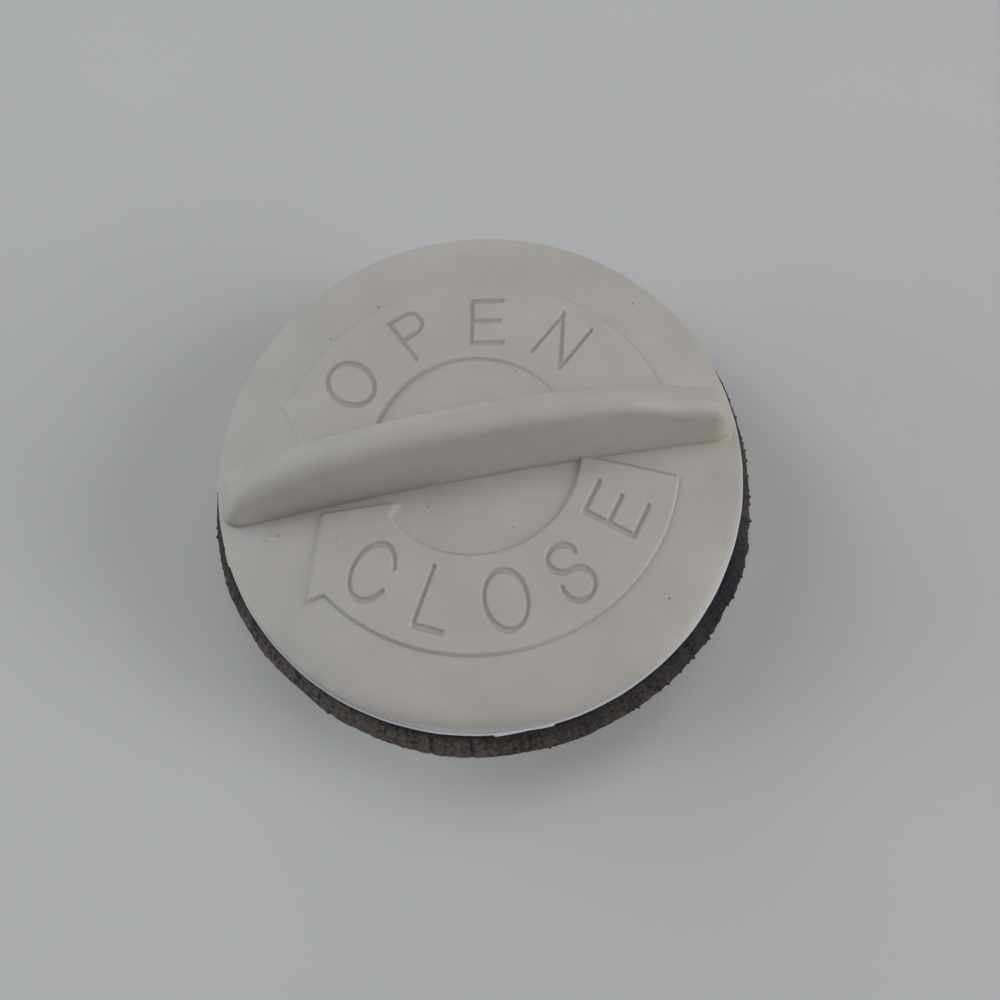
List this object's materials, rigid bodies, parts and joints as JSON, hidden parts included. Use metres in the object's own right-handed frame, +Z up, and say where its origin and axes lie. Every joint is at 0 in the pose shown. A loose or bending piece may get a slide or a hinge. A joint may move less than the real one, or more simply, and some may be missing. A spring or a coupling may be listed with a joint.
{
  "type": "quarter-turn sealing cap",
  "caption": "Round hand-turned sealing cap with a finger bar, raised OPEN and CLOSE arrows, bayonet lugs on a hollow plug, and a ring gasket cut from rubber sheet.",
  "frame": {"origin": "centre of the plug's foot ring, on the cap's turning axis", "axes": "+Z up along the turning axis to the finger bar; +X along the finger bar; the CLOSE arrow is on the -Y side"},
  "size_m": [0.064, 0.064, 0.0294],
  "materials": {
    "cap_plastic": "satin warm grey, injection moulded",
    "gasket_rubber": "matt black-brown filled rubber sheet with a rough cut edge"
  },
  "bodies": {
    "gasket": {"gasket": "gasket_rubber"},
    "cap": {"cap": "cap_plastic"}
  },
  "joints": [
    {"name": "quarter_turn", "type": "hinge", "parent": "gasket", "child": "cap", "pos_m": [0, 0, 0.0156], "axis": [0, 0, 1], "range_deg": [0, 90]}
  ]
}
